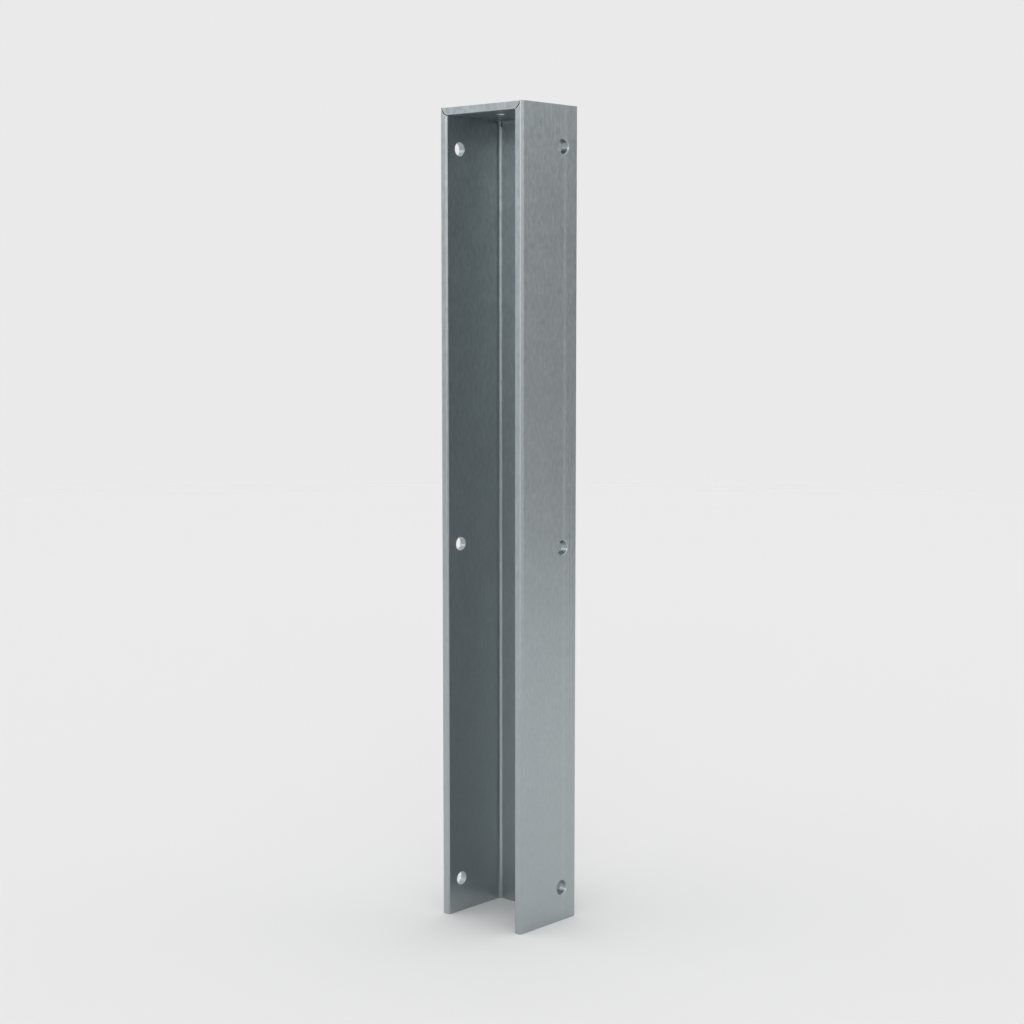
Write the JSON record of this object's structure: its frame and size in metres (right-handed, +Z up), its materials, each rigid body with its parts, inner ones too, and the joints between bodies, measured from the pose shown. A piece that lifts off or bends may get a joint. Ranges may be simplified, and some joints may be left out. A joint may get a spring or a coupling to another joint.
{
  "type": "steel stud",
  "caption": "Short upright steel channel folded from one thick galvanised sheet, open in front, closed at the top by a folded cap, with bolt holes in its flanges and cap.",
  "frame": {"origin": "on the floor, under the middle of the channel's section", "axes": "+Z up along the stud, X across the web, +Y from the open side towards the back of the web"},
  "size_m": [0.065, 0.0524, 0.5],
  "materials": {
    "galvanised_sheet": "satin zinc-coated sheet with a drawn grain"
  },
  "bodies": {
    "root": {"channel_stud": "galvanised_sheet"}
  },
  "joints": []
}
